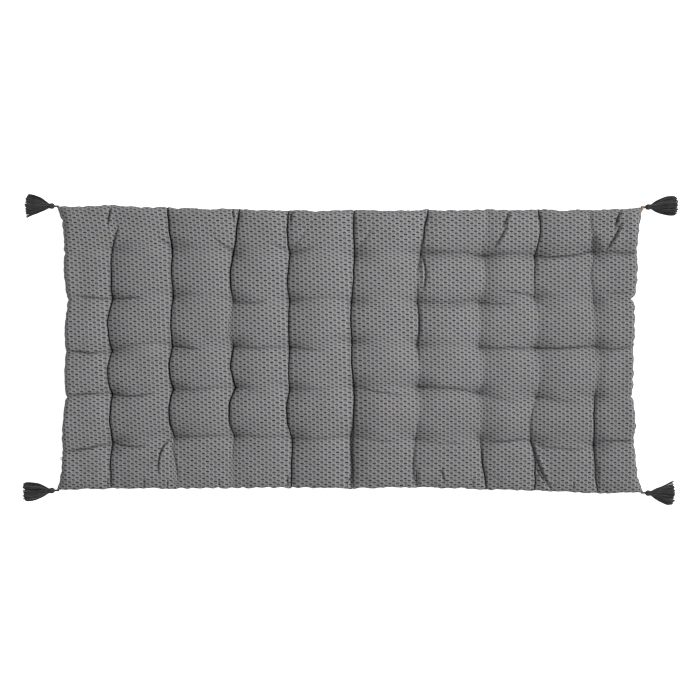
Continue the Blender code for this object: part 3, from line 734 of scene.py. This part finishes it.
# The print, in millimetres from the middle of one of its cells. HALF: half an oval's width and height.
NET_GREY = (0.306, 0.303, 0.309)
CELL_GREY = (0.211, 0.209, 0.212)
DOME_GREY = (0.007, 0.007, 0.008)
NET_EDGES = (1.7, 0.8)
NET_SLANT = 4.0
NET_HEAVIER = 0.47
DOME_CENTRE = (0, -0.37)
DOME_HALF = (3.4, 1.72)
DOME_FOOT = (-1.6, -0.7)
HOLLOW_CENTRE = (0, -1.4)
HOLLOW_HALF = (1.5, 1.2)
MARK_CENTRE = (1.0, -4.3)
MARK_HALF = (1.9, 1.4)
PRINT_WOBBLE = 0.12
THREAD_PITCH = 0.62


def repeat_centre(tree, across, up, shift):
    """Place within the repeat, in millimetres from its centre, with the lattice shifted, and the
    square of its distance."""
    add, subtract, multiply, _ = sums(tree)
    x = multiply(subtract(calc(tree, "FRACT", add(across, shift)), 0.5), REPEAT_ACROSS)
    y = multiply(subtract(calc(tree, "FRACT", add(up, shift)), 0.5), REPEAT_UP)
    return x, y, add(multiply(x, x), multiply(y, y))


def oval_ring(tree, x, y, centre, half):
    """0 at the middle of an oval and 1 on its rim, as the square of the way out."""
    add, subtract, multiply, divide = sums(tree)
    across = divide(subtract(x, centre[0]), half[0])
    up = divide(subtract(y, centre[1]), half[1])
    return add(multiply(across, across), multiply(up, up))


def printed_cotton():
    """A plain-woven cotton with an all-over print: a pale net of six-sided cells, in two columns half
    a repeat apart, heavier where it slants down to the right, and in each cell a dark dome over a
    small faint mark."""
    made, tree, shader = new_material("printed_cotton")
    add, subtract, multiply, divide = sums(tree)
    vectors = partial(calc, tree, kind="ShaderNodeVectorMath")
    cloth = cloth_map(tree)
    wobble = noise(tree, cloth, 0.9, output="Color")
    across, up = two_numbers(tree, vectors("MULTIPLY_ADD", wobble, (PRINT_WOBBLE, PRINT_WOBBLE, 0.0), cloth))

    first_x, first_y, first_square = repeat_centre(tree, across, up, 0.0)
    second_x, second_y, second_square = repeat_centre(tree, across, up, 0.5)
    in_second = calc(tree, "LESS_THAN", second_square, first_square)
    x = add(first_x, multiply(subtract(second_x, first_x), in_second))
    y = add(first_y, multiply(subtract(second_y, first_y), in_second))
    apart = 2 * math.hypot(REPEAT_ACROSS / 2, REPEAT_UP / 2)
    slant = divide(calc(tree, "ABSOLUTE", subtract(first_square, second_square)), apart)
    level = subtract(REPEAT_UP / 2, calc(tree, "ABSOLUTE", y))
    to_border = calc(tree, "MINIMUM", slant, level)

    heavy = multiply(ramp(tree, multiply(x, y), -NET_SLANT, NET_SLANT), NET_HEAVIER)
    net = multiply(ramp(tree, to_border, *NET_EDGES), add(heavy, 1 - NET_HEAVIER))
    dome = ramp(tree, oval_ring(tree, x, y, DOME_CENTRE, DOME_HALF), 1.15, 0.75)
    dome = multiply(dome, ramp(tree, y, *DOME_FOOT))
    hollow = ramp(tree, oval_ring(tree, x, y, HOLLOW_CENTRE, HOLLOW_HALF), 1.3, 0.5)
    dome = multiply(dome, subtract(1.0, multiply(hollow, 0.4)))
    inked = noise(tree, cloth, 1.3, 1.0)
    dome = multiply(dome, add(multiply(inked, 0.6), 0.68))
    mark = ramp(tree, oval_ring(tree, x, y, MARK_CENTRE, MARK_HALF), 1.6, 0.0)
    colour = blend_colour(tree, net, CELL_GREY, NET_GREY)
    colour = blend_colour(tree, multiply(mark, 0.54), colour, DOME_GREY)
    colour = blend_colour(tree, dome, colour, DOME_GREY)

    # The ink sits unevenly on the threads, and the cloth has faint paler, darker, warmer and cooler
    # places.
    spot = noise(tree, cloth, 22.0, 3.0)
    patch = noise(tree, cloth, 4.0, 2.0)
    broad = noise(tree, cloth, 0.35, 3.0)
    tone = add(multiply(spot, 0.22), multiply(broad, 0.16))
    tone = add(add(tone, multiply(patch, 0.5)), 0.56)
    tint = noise(tree, cloth, 0.5, output="Color")
    tint = vectors("MULTIPLY_ADD", tint, (0.10, 0.0, 0.16), (0.95, 1.0, 0.92))
    toned = vectors("MULTIPLY", vectors("MULTIPLY", colour, tint), tone)
    tree.links.new(toned, shader.inputs["Base Color"])

    # Warp and weft, each a row of round threads that pass over and under each other.
    warp = calc(tree, "SINE", multiply(across, 2 * math.pi * REPEAT_ACROSS / THREAD_PITCH))
    weft = calc(tree, "SINE", multiply(up, 2 * math.pi * REPEAT_UP / THREAD_PITCH))
    add_relief(tree, shader, add(multiply(warp, weft), multiply(spot, 1.5)), 0.35, 0.00012)
    set_sockets(shader, {
        "Roughness": 0.9, "Specular IOR Level": 0.18, "Sheen Weight": 0.12, "Sheen Roughness": 0.5,
    })
    return made


cover.data.materials.append(printed_cotton())
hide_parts("mattress")
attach(cover, "root")

# The tufting
# At each tuft a waxed thread goes through the mattress, over the cloth for a few millimetres and back,
# and is pulled tight, so a short dark stitch lies at the bottom of each dimple, above and below.


def tube(route, radii, sides):
    """A closed tube: a ring of points round each point of the route, square to its way, and a point
    at each end. Returns points and faces of four corners, with -1 for the fourth at the ends."""
    way = np.gradient(route, axis=0)
    way /= np.linalg.norm(way, axis=1)[:, None]
    reference = np.array([0.0, 0.0, 1.0]) if abs(way[:, 2]).max() < 0.85 else np.array([0.31, 0.95, 0.0])
    right = np.cross(way, reference)
    right /= np.linalg.norm(right, axis=1)[:, None]
    over = np.cross(right, way)
    turn = np.linspace(0, 2 * math.pi, sides, endpoint=False)
    ring = right[:, None] * np.cos(turn)[None, :, None] + over[:, None] * np.sin(turn)[None, :, None]
    points = route[:, None] + ring * np.asarray(radii)[:, None, None]
    points = np.concatenate([points.reshape(-1, 3), route[:1], route[-1:]])
    index = np.arange(len(route) * sides).reshape(len(route), sides)
    after = np.roll(index, -1, 1)
    walls = np.stack([index[:-1], after[:-1], after[1:], index[1:]], -1).reshape(-1, 4)
    start, end = len(points) - 2, len(points) - 1
    first = np.stack([np.full(sides, start), after[0], index[0], np.full(sides, -1)], -1)
    last = np.stack([np.full(sides, end), index[-1], after[-1], np.full(sides, -1)], -1)
    return points, np.concatenate([walls, first, last])


def make_tubes(name, tubes):
    """One object from many tubes. Each end face has three corners; the rest have four. The map runs
    once round each tube and along it in millimetres, from a new thousand for each tube."""
    points, faces, maps, first = [], [], [], 0
    for route, radii, sides in tubes:
        tube_points, tube_faces = tube(route, radii, sides)
        points.append(tube_points)
        faces.append(np.where(tube_faces < 0, -1, tube_faces + first))
        along = np.concatenate([[0], np.cumsum(np.linalg.norm(np.diff(route, axis=0), axis=1))])
        along = along + 1000 * len(maps)
        ring_map = np.stack(np.broadcast_arrays(np.arange(sides) / sides, along[:, None]), -1)
        ends = np.array([[0.5, along[0]], [0.5, along[-1]]])
        maps.append(np.concatenate([ring_map.reshape(-1, 2), ends]))
        first += len(tube_points)
    points, faces, maps = (np.concatenate(part) for part in (points, faces, maps))
    piece = make_piece(name, points * MM, [face[face >= 0].tolist() for face in faces])
    add_map(piece, maps)
    return piece


def noise_along(tree, value):
    """Even noise from 0 to 1 along one number."""
    node = tree.nodes.new("ShaderNodeTexNoise")
    node.noise_dimensions = "1D"
    node.inputs["Scale"].default_value = 1.0
    tree.links.new(value, node.inputs["W"])
    return node.outputs["Fac"]


STRAND_TONES = 0.0137
LOCK_TONES = 0.00017


def yarn_material(name, dark, light, ply, strand_scale):
    """Spun yarn: plies that wind round it, a paler nap on top, a tone for each lock of some ten strands
    and its own tone for each strand."""
    made, tree, shader = new_material(name)
    add, _, multiply, _ = sums(tree)
    round_it, along = two_numbers(tree, cloth_map(tree))
    wound = add(multiply(round_it, 4 * math.pi), multiply(along, 2 * math.pi / ply))
    plies = add(multiply(calc(tree, "SINE", wound), 0.5), 0.5)
    body = tree.nodes.new("ShaderNodeTexCoord")
    fibre = noise(tree, body.outputs["Object"], strand_scale, 4.0)
    tone = add(multiply(plies, 0.25), multiply(fibre, 0.6))
    tone = add(tone, multiply(noise_along(tree, multiply(along, STRAND_TONES)), 0.8))
    tone = add(tone, multiply(noise_along(tree, multiply(along, LOCK_TONES)), 1.4))
    tone = ramp(tree, tone, 1.15, 2.05)
    tree.links.new(blend_colour(tree, tone, dark, light), shader.inputs["Base Color"])
    add_relief(tree, shader, add(plies, fibre), 0.6, 0.0002)
    set_sockets(shader, {"Roughness": 0.95, "Specular IOR Level": 0.12, "Sheen Weight": 0.15})
    return made


STITCH_LENGTH = 7.0
STITCH_RADIUS = 0.55
STITCH_APART = 0.55
STITCH_POINTS = 9
tuft_column, tuft_row = np.meshgrid(np.arange(1, CELLS_LONG), np.arange(1, CELLS_WIDE), indexing="ij")
tufts_top, tufts_under = cover_panels(tuft_column * 1.0, tuft_row * 1.0)
stitch_chance = np.random.default_rng(21)
stitch_tubes = []
above, below = tufts_top.reshape(-1, 3), tufts_under.reshape(-1, 3)
for tuft, up in [(tuft, 1) for tuft in above] + [(tuft, -1) for tuft in below]:
    lean = math.radians(90 + stitch_chance.uniform(-25, 25))
    share = np.linspace(-1, 1, STITCH_POINTS)
    for side in (-STITCH_APART, STITCH_APART):
        along = share * STITCH_LENGTH / 2
        route = tuft + np.stack([
            along * math.cos(lean) - side * math.sin(lean),
            along * math.sin(lean) + side * math.cos(lean),
            up * (1.6 - 2.6 * share**4),
        ], -1)
        stitch_tubes.append((route, np.full(STITCH_POINTS, STITCH_RADIUS), 6))
stitches = make_tubes("tufting_stitches", stitch_tubes)
tufting_thread = yarn_material("tufting_thread", (0.03, 0.03, 0.03), (0.09, 0.09, 0.09), 1.4, 900)
stitches.data.materials.append(tufting_thread)
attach(stitches, "root")

# The tassels
# Charcoal cotton yarn laid over a loop, tied below the loop to make a round head, and cut to a skirt.
# The outer yarns run over the head, under the binding and down the skirt, which lies on the floor.

# In millimetres and degrees. CORNER: the place in the two tables of lines. HEADING: the way it points,
# from +X. SKIRT: from the neck to the tips. TRIM: how much shorter the outer yarns are. WIDE: half the
# skirt's width to its left and to its right. FLARE: how soon it reaches that width. STRAYS: loose yarns.
TASSELS = (
    dict(NAME="far_left", CORNER=(0, 0), HEADING=176.9,
         SKIRT=47, TRIM=4, WIDE=(19, 23), FLARE=1.75, STRAYS=12),
    dict(NAME="far_right", CORNER=(CELLS_LONG, 0), HEADING=3.2,
         SKIRT=53, TRIM=4, WIDE=(21, 20), FLARE=2.1, STRAYS=0),
    dict(NAME="near_left", CORNER=(0, CELLS_WIDE), HEADING=183.1,
         SKIRT=52, TRIM=4, WIDE=(20, 20), FLARE=2.2, STRAYS=0),
    dict(NAME="near_right", CORNER=(CELLS_LONG, CELLS_WIDE), HEADING=-3.3,
         SKIRT=47, TRIM=4, WIDE=(19, 23), FLARE=1.75, STRAYS=12),
)
HEAD_START = 6.5
HEAD_RADIUS = 5.9
AXIS_HEIGHT = 6.3
NECK = 17.0
NECK_RADIUS = 3.6
YARN_RADIUS = 0.62
HEAD_YARNS = 30
LOCKS = 13
LOCK_YARNS = 10
UNDER_YARNS = 60
SKIRT_HEIGHT = 10.5


def turned_in_place(points, tassel):
    """Points given along +X from the corner of the seam, turned to the heading and moved there."""
    column, row = tassel["CORNER"]
    turn = math.radians(tassel["HEADING"])
    x, y, z = np.moveaxis(points, -1, 0)
    return np.stack([
        UPRIGHT_LINES[column]["X"][row] + x * math.cos(turn) - y * math.sin(turn),
        CROSS_LINES[row]["Y"][column] + x * math.sin(turn) + y * math.cos(turn),
        z,
    ], -1)


def skirt_route(tassel, side, level, longer, chance):
    """One yarn from the neck to its tip. side is -1 to 1 across the skirt and level 0 to 1 up it.
    Its way out is fast at first, 1 - (1 - t)^FLARE, and it drops to its layer, then lies level."""
    share = np.linspace(0, 1, 13)
    wide = tassel["WIDE"][0] if side > 0 else tassel["WIDE"][1]
    trim = tassel["TRIM"] * abs(side) ** 4
    end = NECK + tassel["SKIRT"] - trim + 2 + np.clip(longer, -5, 2.5)
    x = NECK + (end - NECK) * share
    spread = 1 - (1 - share) ** tassel["FLARE"]
    start_y = NECK_RADIUS * side * 0.8
    y = start_y + (wide * side - start_y) * spread * (1 - 0.08 * share**4)
    y += chance.normal(0, 0.35) * np.sin(math.pi * share) + chance.normal(0, 0.5) * share**2
    y += 0.3 * np.sin(share * chance.uniform(6, 14) + chance.uniform(0, 6))
    layer = SKIRT_HEIGHT * math.sqrt(max(0.2, 1 - 0.75 * side * side)) - 2 * YARN_RADIUS
    start_z = AXIS_HEIGHT + NECK_RADIUS * 0.8 * (2 * level - 1) * math.sqrt(max(0.0, 1 - side * side))
    settle = 1 - (1 - np.clip(share * 1.8, 0, 1)) ** 2
    flat = YARN_RADIUS + layer * level * (1 - 0.22 * share**2)
    z = start_z + (flat - start_z) * settle + 0.25 * np.sin(share * chance.uniform(5, 12))
    return np.stack([x, y, np.maximum(z, YARN_RADIUS + 0.02)], -1)


def head_route(angle):
    """The way of one yarn over the head, from its pole to the neck, at an angle round the axis."""
    turn = np.radians([8, 26, 46, 68, 90, 112, 130])
    along = np.append(HEAD_START + HEAD_RADIUS * (1 - np.cos(turn)), [NECK - 1.2])
    radius = np.append((HEAD_RADIUS - YARN_RADIUS) * np.sin(turn), [NECK_RADIUS])
    return np.stack([along, radius * math.cos(angle), AXIS_HEIGHT + radius * math.sin(angle)], -1)


charcoal = yarn_material("charcoal_yarn", (0.003, 0.003, 0.004), (0.1, 0.1, 0.102), 2.2, 700)
for number, tassel in enumerate(TASSELS):
    chance = np.random.default_rng(40 + number)
    tubes = []
    for i in range(HEAD_YARNS):
        angle = 2 * math.pi * (i + 0.5) / HEAD_YARNS
        level = 0.5 + 0.5 * math.sin(angle)
        skirt = skirt_route(tassel, math.cos(angle), level, chance.normal(0, 1), chance)
        route = np.concatenate([head_route(angle), skirt])
        radii = np.concatenate([np.linspace(0.35, YARN_RADIUS, 4), np.full(len(route) - 4, YARN_RADIUS)])
        tubes.append((turned_in_place(route, tassel), radii, 5))
    # Most yarns cling together in locks, over a flat layer of loose ones.
    for lock in range(LOCKS):
        lock_side = (2 * lock + 1) / LOCKS - 1 + chance.normal(0, 0.03)
        lock_level = chance.uniform(0.45, 0.95)
        lock_longer = chance.normal(0, 1.6)
        for i in range(LOCK_YARNS):
            side = lock_side * 0.97 + chance.uniform(-1, 1) * 0.055
            level = np.clip(lock_level + chance.normal(0, 0.12), 0, 1)
            route = skirt_route(tassel, side, level, lock_longer + chance.normal(0, 0.8), chance)
            radii = np.full(len(route), YARN_RADIUS * chance.uniform(0.9, 1.15))
            tubes.append((turned_in_place(route, tassel), radii, 5))
    for i in range(UNDER_YARNS):
        side = (2 * i + 1) / UNDER_YARNS - 1
        route = skirt_route(tassel, side, chance.uniform(0, 0.15), chance.normal(-1, 1.2), chance)
        tubes.append((turned_in_place(route, tassel), np.full(len(route), YARN_RADIUS * 1.15), 5))
    for i in range(tassel["STRAYS"]):
        route = skirt_route(tassel, chance.uniform(0.8, 0.95), 0.1, chance.uniform(-2, 2.5), chance)
        route[:, 1] += chance.uniform(3, 13) * np.linspace(0, 1, len(route)) ** 3
        tubes.append((turned_in_place(route, tassel), np.full(len(route), YARN_RADIUS * 1.2), 5))
    core_turn = np.radians([10, 40, 70, 100, 130])
    core_x = HEAD_START + HEAD_RADIUS * (1 - np.cos(core_turn))
    core = np.stack([core_x, np.zeros(5), np.full(5, AXIS_HEIGHT)], -1)
    tubes.append((turned_in_place(core, tassel), (HEAD_RADIUS - 1.0) * np.sin(core_turn), 16))
    piece = make_tubes("yarn_tassel_" + tassel["NAME"], tubes)
    piece.data.materials.append(charcoal)
    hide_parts("tassel_" + tassel["NAME"])
    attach(piece, "root")

# The bindings
# A finer thread wound six times round each neck and pulled tight.

BINDING_TURNS = 6
BINDING_THREAD = 0.42
BINDING_COIL = 4.7
for tassel in TASSELS:
    share = np.linspace(0, 1, BINDING_TURNS * 18)
    turn = 2 * math.pi * BINDING_TURNS * share
    along = NECK + (share - 0.5) * (BINDING_TURNS - 1) * 2 * BINDING_THREAD * 0.8
    coil = np.stack([
        along, BINDING_COIL * np.cos(turn), AXIS_HEIGHT + BINDING_COIL * np.sin(turn),
    ], -1)
    tubes = [(turned_in_place(coil, tassel), np.full(len(coil), BINDING_THREAD), 6)]
    piece = make_tubes("wound_binding_" + tassel["NAME"], tubes)
    piece.data.materials.append(charcoal)
    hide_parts("binding_" + tassel["NAME"])
    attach(piece, "root")

# The ties
# Two plies of the yarn, twisted, that come out of the corner of the seam and hold the tassel's head.

TIE_PLY = 1.2
for tassel in TASSELS:
    share = np.linspace(0, 1, 22)
    eased = share * share * (3 - 2 * share)
    height = CORNER_HEIGHT + (AXIS_HEIGHT - CORNER_HEIGHT) * eased
    tubes = []
    for ply in (0, math.pi):
        turn = ply + share * 2 * math.pi * 1.6
        route = np.stack([
            -2.5 + (HEAD_START + 3.0) * share,
            TIE_PLY * 0.7 * np.cos(turn),
            height + TIE_PLY * 0.7 * np.sin(turn),
        ], -1)
        tubes.append((turned_in_place(route, tassel), np.full(22, TIE_PLY), 7))
    piece = make_tubes("twisted_tie_" + tassel["NAME"], tubes)
    piece.data.materials.append(charcoal)
    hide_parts("tie_" + tassel["NAME"])
    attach(piece, "root")

# The orange tacks
# Two places where the maker's orange tacking thread was left in: wound round the far right tie and
# stitched over the corner beside it, and a short loop of it out of the left seam.

TACK_THREAD = 0.6
LOOP_PLACE = (-593.5, -224.5, 25.0)
far_right = TASSELS[1]
tie_share = np.linspace(0, 1, 60)
tie_turn = 2 * math.pi * 4 * tie_share
tie_radius = 2.6 - 0.9 * tie_share
tack_wound = turned_in_place(np.stack([
    -2.0 + 3.8 * tie_share,
    tie_radius * np.cos(tie_turn),
    CORNER_HEIGHT + tie_radius * np.sin(tie_turn),
], -1), far_right)
down_share = np.linspace(0, 1, 90)
to_and_fro = 0.5 + 0.5 * np.sin(2 * math.pi * 7 * down_share)
stitched, _ = cover_panels(CELLS_LONG - 0.004 - 0.036 * to_and_fro, 0.01 + 0.06 * down_share)
tack_stitched = stitched + np.array([0, 0, 0.7])
loop_turn = np.linspace(-0.75 * math.pi, 0.95 * math.pi, 26)
tack_loop = LOOP_PLACE + np.stack([
    -1.6 * np.cos(loop_turn),
    2.6 * np.sin(loop_turn),
    1.2 * np.sin(loop_turn * 1.5),
], -1)
tacks = make_tubes("tacking_thread", [
    (tack_wound, np.full(60, TACK_THREAD), 6),
    (tack_stitched, np.full(90, TACK_THREAD), 6),
    (tack_loop, np.full(26, TACK_THREAD), 6),
])
orange_thread = yarn_material("orange_thread", (0.30, 0.13, 0.04), (0.52, 0.27, 0.11), 1.0, 900)
tacks.data.materials.append(orange_thread)
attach(tacks, "root")

# The camera, the floor and the light
# Straight above the middle, as the mattress was photographed, on a bright white floor. A broad soft
# light comes from the right, a smaller one hangs over the middle, and the room's light fills in.

camera = add_object("camera", bpy.data.cameras.new("camera"))
bpy.context.scene.camera = camera
camera.data.lens = 100
camera.data.sensor_width = 36
PICTURE_WIDTH = 1.442
camera.location = (0, -0.001, 0.02 + PICTURE_WIDTH * camera.data.lens / camera.data.sensor_width)
camera.rotation_euler = (0, 0, 0)

floor = add_object("floor", bpy.data.meshes.new("floor"))
floor.data.from_pydata([(-6, -6, 0), (6, -6, 0), (6, 6, 0), (-6, 6, 0)], [], [(0, 1, 2, 3)])
floor_paint, _, floor_shader = new_material("floor_paint")
set_sockets(floor_shader, {
    "Base Color": (0.93, 0.93, 0.93, 1), "Roughness": 0.9,
    "Emission Color": (1, 1, 1, 1), "Emission Strength": 0.72,
})
floor.data.materials.append(floor_paint)
floor.visible_diffuse = False

key = add_object("key_light", bpy.data.lights.new("key_light", "SUN"))
key.data.angle = math.radians(38)
key.data.energy = 2.15
key.rotation_euler = Vector((-0.75, -0.22, -0.62)).to_track_quat("-Z", "Y").to_euler()
overhead = add_object("overhead_light", bpy.data.lights.new("overhead_light", "AREA"))
overhead.data.size = 0.2
overhead.data.energy = 0.9
overhead.location = (0.2, 0.18, 0.7)
overhead.visible_camera = False
world = bpy.data.worlds.new("room")
world.use_nodes = True
world.node_tree.nodes["Background"].inputs["Color"].default_value = (1, 1, 1, 1)
world.node_tree.nodes["Background"].inputs["Strength"].default_value = 0.45
bpy.context.scene.world = world
bpy.context.scene.view_settings.view_transform = "Standard"
bpy.context.scene.cycles.filter_width = 1.2
